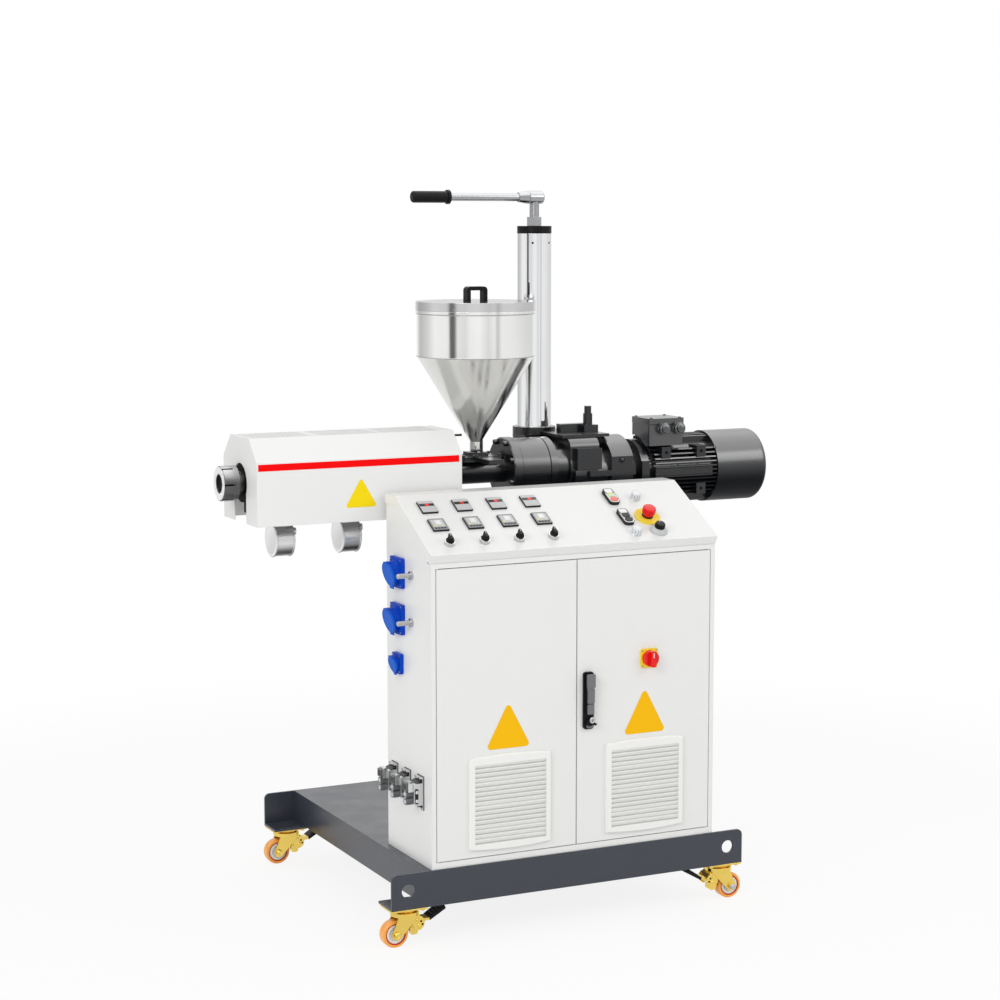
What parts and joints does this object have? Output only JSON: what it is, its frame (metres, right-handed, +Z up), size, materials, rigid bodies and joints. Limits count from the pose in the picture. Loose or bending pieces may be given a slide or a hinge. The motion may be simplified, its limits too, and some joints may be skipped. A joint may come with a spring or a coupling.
{
  "type": "plastic extruder",
  "caption": "Wheeled plastic extruder: a covered barrel, hopper, gear unit and finned motor on a lifting column behind a two-door control cabinet.",
  "frame": {"origin": "on the floor under the middle of the machine's outline", "axes": "+Z up, +Y from the cabinet's doors to the back, +X along the barrel towards the motor"},
  "size_m": [1.553, 0.9244, 1.8565],
  "materials": {
    "white_paint": "satin powder coat",
    "dark_paint": "satin powder coat",
    "black_paint": "satin machine paint",
    "zinc": "gold zinc plating",
    "tread": "smooth cast tread",
    "chrome": "polished",
    "stainless": "brushed",
    "black_plastic": "moulded",
    "grey_plastic": "moulded",
    "pale_plastic": "moulded",
    "blue_plastic": "moulded",
    "yellow_plastic": "moulded",
    "red_plastic": "moulded",
    "clear_plastic": "clear moulded",
    "cast_grey": "die cast"
  },
  "bodies": {
    "frame": {"front_rail": "dark_paint", "rear_rail": "dark_paint", "deck_plate": "dark_paint", "deck_skirts": "dark_paint", "caster_plates": "zinc", "left_wall": "white_paint", "right_wall": "white_paint", "back_wall": "white_paint", "cabinet_floor": "white_paint", "door_frame": "white_paint", "console_lid": "white_paint", "panel_controllers": "grey_plastic", "selector_switches": "black_plastic", "push_buttons": "grey_plastic", "pilot_lights": "clear_plastic", "emergency_stop": "yellow_plastic", "blue_sockets": "blue_plastic", "pin_fittings": "chrome", "multipole_connectors": "cast_grey", "column_tube": "chrome", "column_cap": "black_plastic", "column_nut": "chrome"},
    "carriage": {"column_carriage": "black_paint", "clamp_screw": "black_paint", "gear_flange": "black_paint", "gear_drum": "black_paint", "gear_housing": "black_paint", "gear_end_cover": "black_paint", "motor_flange": "black_paint", "motor_body": "black_paint", "motor_cowl": "black_paint", "terminal_box": "black_paint", "feed_housing": "black_paint", "feed_plate": "black_paint", "barrel": "stainless", "nozzle_ring": "chrome", "barrel_support": "black_paint", "barrel_cover": "white_paint", "blowers": "chrome", "hopper_cone": "stainless", "hopper_drum": "stainless"},
    "hopper_lid": {"hopper_lid": "stainless", "lid_handle": "black_plastic"},
    "crank": {"crank_arm": "chrome", "crank_grip": "black_plastic"},
    "left_door": {"left_door": "white_paint", "left_grille": "pale_plastic"},
    "right_door": {"right_door": "white_paint", "right_grille": "pale_plastic", "door_handle": "black_plastic", "switch_plate": "yellow_plastic"},
    "main_switch": {"switch_knob": "red_plastic"},
    "caster_front_left": {"caster_fork_front_left": "zinc"},
    "wheel_front_left": {"caster_wheel_front_left": "tread"},
    "caster_front_right": {"caster_fork_front_right": "zinc"},
    "wheel_front_right": {"caster_wheel_front_right": "tread"},
    "caster_rear_left": {"caster_fork_rear_left": "zinc"},
    "wheel_rear_left": {"caster_wheel_rear_left": "tread"},
    "caster_rear_right": {"caster_fork_rear_right": "zinc"},
    "wheel_rear_right": {"caster_wheel_rear_right": "tread"}
  },
  "joints": [
    {"name": "carriage_lift", "type": "slide", "parent": "frame", "child": "carriage", "axis": [0, 0, 1], "range_m": [-0.15, 0.1]},
    {"name": "hopper_lid_lift", "type": "slide", "parent": "carriage", "child": "hopper_lid", "axis": [0, 0, 1], "range_m": [0, 0.08]},
    {"name": "crank_turn", "type": "hinge", "parent": "frame", "child": "crank", "pos_m": [0.1745, 0.11965, 1.741], "axis": [0, 0, 1], "continuous": true},
    {"name": "left_door_hinge", "type": "hinge", "parent": "frame", "child": "left_door", "pos_m": [-0.366, -0.43035, 0.208], "axis": [0, 0, -1], "range_deg": [0, 115]},
    {"name": "right_door_hinge", "type": "hinge", "parent": "frame", "child": "right_door", "pos_m": [0.399, -0.43035, 0.208], "axis": [0, 0, 1], "range_deg": [0, 115]},
    {"name": "main_switch_turn", "type": "hinge", "parent": "right_door", "child": "main_switch", "pos_m": [0.223, -0.43385, 0.66975], "axis": [0, 1, 0], "range_deg": [0, 90]},
    {"name": "swivel_front_left", "type": "hinge", "parent": "frame", "child": "caster_front_left", "pos_m": [-0.4445, -0.39985, 0.096], "axis": [0, 0, 1], "continuous": true},
    {"name": "spin_front_left", "type": "hinge", "parent": "caster_front_left", "child": "wheel_front_left", "pos_m": [-0.4725, -0.39985, 0.034], "axis": [0, 1, 0], "continuous": true},
    {"name": "swivel_front_right", "type": "hinge", "parent": "frame", "child": "caster_front_right", "pos_m": [0.4575, -0.39985, 0.096], "axis": [0, 0, 1], "continuous": true},
    {"name": "spin_front_right", "type": "hinge", "parent": "caster_front_right", "child": "wheel_front_right", "pos_m": [0.4855, -0.39985, 0.034], "axis": [0, 1, 0], "continuous": true},
    {"name": "swivel_rear_left", "type": "hinge", "parent": "frame", "child": "caster_rear_left", "pos_m": [-0.4445, 0.42415, 0.096], "axis": [0, 0, 1], "continuous": true},
    {"name": "spin_rear_left", "type": "hinge", "parent": "caster_rear_left", "child": "wheel_rear_left", "pos_m": [-0.4725, 0.42415, 0.034], "axis": [0, 1, 0], "continuous": true},
    {"name": "swivel_rear_right", "type": "hinge", "parent": "frame", "child": "caster_rear_right", "pos_m": [0.4575, 0.42415, 0.096], "axis": [0, 0, 1], "continuous": true},
    {"name": "spin_rear_right", "type": "hinge", "parent": "caster_rear_right", "child": "wheel_rear_right", "pos_m": [0.4855, 0.42415, 0.034], "axis": [0, 1, 0], "continuous": true}
  ]
}
